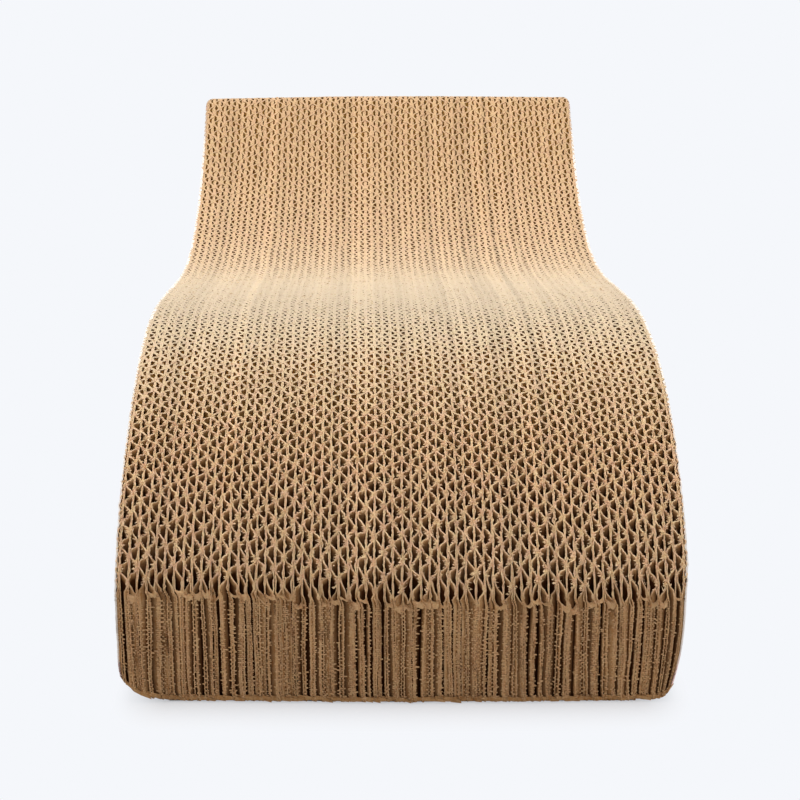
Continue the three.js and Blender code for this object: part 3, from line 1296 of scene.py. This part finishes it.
def flute_lean(rng):
    """How one board's flutes lean, as a function of y."""
    own = rng.normal(0, LEAN_SPREAD)
    change = along_length(rng, *LEAN_CHANGE)

    def lean(y):
        mean = LEAN_FRONT + (LEAN_HEAD - LEAN_FRONT) * (y - FRONT) / (BACK - FRONT)
        return np.clip(mean + own + change(y), -LEAN_LIMIT, LEAN_LIMIT)

    return lean


def torn_ends(sheets, rng, x_of, setback, tone, typical):
    """The flaps of one paper at both ends and at its front foot."""
    for end in (FRONT, BACK):
        end_flaps(sheets, rng, x_of, end, setback, tone, typical)
    foot_flaps(sheets, rng, x_of, tone)


def make_board(number, node, left_of, right_of, middle, bends):
    """One coarse board between the two faces given as functions of y and z."""
    rng = np.random.default_rng(SEED + number)
    sheets = Sheets()
    setback = min(abs(rng.normal(0, SETBACK)), MOST_SETBACK)
    tone = rng.normal(0, BOARD_TONES)
    for face, side in ((left_of, 1), (right_of, -1)):
        paper = tone + LINER_PALER + rng.normal(0, PAPER_TONES)
        liner_sheet(sheets, rng, face, side, LINER, paper, setback)
        centre = shifted(face, side * LINER / 2)
        liner_fibres(sheets, rng, centre, paper, LINER_FIBRES)
        torn_ends(sheets, rng, centre, setback, paper, LINER_FLAP)
    inner_left = shifted(left_of, LINER)
    inner_right = shifted(right_of, -LINER)
    wave = Wave(rng, inner_left, inner_right, MEDIUM, FLUTE, flute_lean(rng))
    paper = tone - LINER_PALER + rng.normal(0, PAPER_TONES)
    medium_sheet(sheets, rng, wave, MEDIUM_LATTICE, paper, setback + MEDIUM_SETBACK)
    medium_fibres(sheets, rng, wave, paper, MEDIUM_FIBRES)
    glue_tufts(sheets, rng, wave, paper)
    glue_crumbs(sheets, rng, wave, paper)
    torn_ends(sheets, rng, wave.x_of, setback, paper, MEDIUM_FLAP)
    if rng.random() < LIP_CHANCE:
        fold_lip(sheets, rng, inner_left, inner_right, paper, setback)
    warps = [EndCut(rng, middle, end, *BOARD_CUT) for end in (FRONT, BACK)]
    name = f"corrugated_board_{number:02d}"
    finish_piece(name, sheets, warps + bends, node, CARDBOARD)


def make_core(boards):
    """All coarse boards, each bulging with its neighbours but plane at the side sheets."""
    rng = np.random.default_rng(SEED)
    ripples = [Ripple(rng, RIPPLE) for _ in boards[1:]]
    ripples = [plane(0)] + ripples + [plane(0)]
    bends = [EndBend(rng, FRONT, *FRONT_BEND), EndBend(rng, BACK, *BACK_BEND)]
    for place, (number, node, left, right) in enumerate(boards):
        left_of = shifted(ripples[place], left)
        right_of = shifted(ripples[place + 1], right)
        make_board(number, node, left_of, right_of, (left + right) / 2, bends)


def make_side(node, outward):
    """A thin side sheet: printed liner outside, fine flutes and a brown liner inside."""
    rng = np.random.default_rng(SEED + 100 + outward)
    low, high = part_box(node)
    outer, inner = (low.x, high.x) if outward < 0 else (high.x, low.x)
    outer -= outward * PRINT_INSET
    core = Sheets()
    liner_sheet(core, rng, plane(inner), outward, FINE_LINER, *FINE_LINER_PAPER)
    left, right = sorted([inner + outward * FINE_LINER, outer - outward * PRINTED_LINER])
    wave = Wave(rng, plane(left), plane(right), FINE_MEDIUM, FINE_FLUTE, lambda y: 0 * y)
    medium_sheet(core, rng, wave, FINE_LATTICE, *FINE_MEDIUM_PAPER)
    medium_fibres(core, rng, wave, FINE_MEDIUM_PAPER[0], FINE_FIBRES)
    warps = [EndCut(rng, (low.x + high.x) / 2, end, *SHEET_CUT) for end in (FRONT, BACK)]
    side = "left" if outward < 0 else "right"
    finish_piece(f"side_flutes_{side}", core, warps, node, CARDBOARD)
    skin = Sheets()
    paper = (PRINTED_LINER, *PRINTED_PAPER, PRINTED_LATTICE)
    liner_sheet(skin, rng, plane(outer), -outward, *paper)
    finish_piece(f"printed_liner_{side}", skin, warps, node, PRINTED)


make_core(core_boards())
make_side("side_sheet_left", -1)
make_side("side_sheet_right", 1)


# Camera, lights and floor

BACKGROUND = srgb(245, 247, 251)
AMBIENT = (0.46, 0.456, 0.45, 1.0)

# The camera's place in metres, its angles in degrees, and its lens and sensor in millimetres
CAMERA_AHEAD = 799.8 * MM
CAMERA_LEFT = 13.5 * MM
CAMERA_HEIGHT = 413 * MM
CAMERA_DOWN = 18.68
CAMERA_TURN = 0.887
CAMERA_LENS = 90.15
CAMERA_SENSOR = 36
NEAREST_SEEN = 0.01

# Each lamp's name, place, aim, size and power
LAMPS = (
    ("overhead", (0, 0.12, 1.15), (0, -0.03, 0), (1.1, 1.1), 12.0),
    ("left_box", (-1.05, 0.2, 0.55), (0, 0, 0.08), (1.1, 0.8), 2.6),
    ("right_box", (1.05, 0.2, 0.55), (0, 0, 0.08), (1.1, 0.8), 2.6),
)


def make_camera():
    camera = into_scene("camera", bpy.data.cameras.new("camera"))
    camera.data.lens = CAMERA_LENS
    camera.data.sensor_width = CAMERA_SENSOR
    camera.data.clip_start = NEAREST_SEEN
    camera.location = (-CAMERA_LEFT, FRONT - CAMERA_AHEAD, CAMERA_HEIGHT)
    camera.rotation_euler = (math.radians(90 - CAMERA_DOWN), 0, math.radians(-CAMERA_TURN))
    bpy.context.scene.camera = camera


def area_light(name, place, aim, size, power):
    data = bpy.data.lights.new(name, "AREA")
    data.shape = "RECTANGLE"
    data.size, data.size_y = size
    data.energy = power
    light = into_scene(name, data)
    light.location = place
    light.rotation_euler = (Vector(aim) - Vector(place)).to_track_quat("-Z", "Y").to_euler()
    light.visible_camera = False


def make_lights():
    for lamp in LAMPS:
        area_light(*lamp)
    world = bpy.data.worlds.new("studio")
    bpy.context.scene.world = world
    world.use_nodes = True
    n = Nodes(world.node_tree)
    background = world.node_tree.nodes["Background"]
    n.link(n.mix(seen_directly(n), AMBIENT, BACKGROUND), background.inputs["Color"])


def seen_directly(n):
    """One for rays that show a surface as it looks, nothing for the ones that carry its light."""
    path = n.new("ShaderNodeLightPath")
    seen = n.math("MAXIMUM", path.outputs["Is Camera Ray"], path.outputs["Is Glossy Ray"])
    return n.math("MAXIMUM", seen, path.outputs["Is Transmission Ray"])


FLOOR_REACH = 6.0
FLOOR_PALE = srgb(250, 250, 252)
FLOOR_BOUNCE = (0.7, 0.69, 0.68, 1.0)
FLOOR_BELOW = 0.3 * MM

# The contact shadow: its share of the floor's look beside the block, how far it fades out
# ahead and to the sides, how far inside the box that starts, and how askew the front is
SHADOW_SHARE = 0.5
SHADOW_REACH = 0.03
SIDE_REACH = 0.025
SHADOW_CLEAR = 2.5 * MM
CORNER_CLEAR = 0.022
SHADOW_SKEW_AT = (-0.085, 0.0)
SHADOW_SKEW = (3.0 * MM, 0.2 * MM)
UNDER_BLOCK = 0.001


def make_floor():
    """A pale floor that takes a soft contact shadow and else has the backdrop's colour."""
    mesh = bpy.data.meshes.new("floor")
    corners = [(-FLOOR_REACH, -FLOOR_REACH, 0), (FLOOR_REACH, -FLOOR_REACH, 0)]
    corners += [(FLOOR_REACH, FLOOR_REACH, 0), (-FLOOR_REACH, FLOOR_REACH, 0)]
    mesh.from_pydata(corners, [], [(0, 1, 2, 3)])
    floor = into_scene("floor", mesh)
    floor.location.z = -FLOOR_BELOW
    material, n, shader = new_material("floor", 1.0)
    seen = seen_directly(n)
    n.link(n.mix(seen, FLOOR_BOUNCE, FLOOR_PALE), shader.inputs["Base Color"])
    glow = n.new("ShaderNodeEmission")
    set_inputs(glow, {"Color": BACKGROUND})
    skew = n.map(n.place("X"), *SHADOW_SKEW_AT, *SHADOW_SKEW)
    sideways = n.math("SUBTRACT", n.math("ABSOLUTE", n.place("X")), HALF_WIDTH - CORNER_CLEAR)
    ahead = n.math("ABSOLUTE", n.math("SUBTRACT", n.place("Y"), skew))
    ahead = n.math("SUBTRACT", ahead, BACK - SHADOW_CLEAR)
    outside = []
    for beyond, reach in ((sideways, SIDE_REACH), (ahead, SHADOW_REACH)):
        beyond = n.math("DIVIDE", n.math("MAXIMUM", beyond, 0.0), reach)
        outside.append(n.math("POWER", beyond, 2.0))
    distance = n.math("SQRT", n.math("ADD", *outside))
    share = n.map(distance, 0.0, 1.0, 1 - SHADOW_SHARE, 1.0)
    share = n.times(share, n.math("GREATER_THAN", distance, UNDER_BLOCK))
    mixer = n.new("ShaderNodeMixShader")
    n.link(n.times(seen, share), mixer.inputs[0])
    n.link(shader.outputs[0], mixer.inputs[1])
    n.link(glow.outputs[0], mixer.inputs[2])
    n.link(mixer.outputs[0], n.tree.nodes["Material Output"].inputs["Surface"])
    mesh.materials.append(material)


make_camera()
make_lights()
make_floor()
bpy.context.scene.view_settings.view_transform = "Standard"
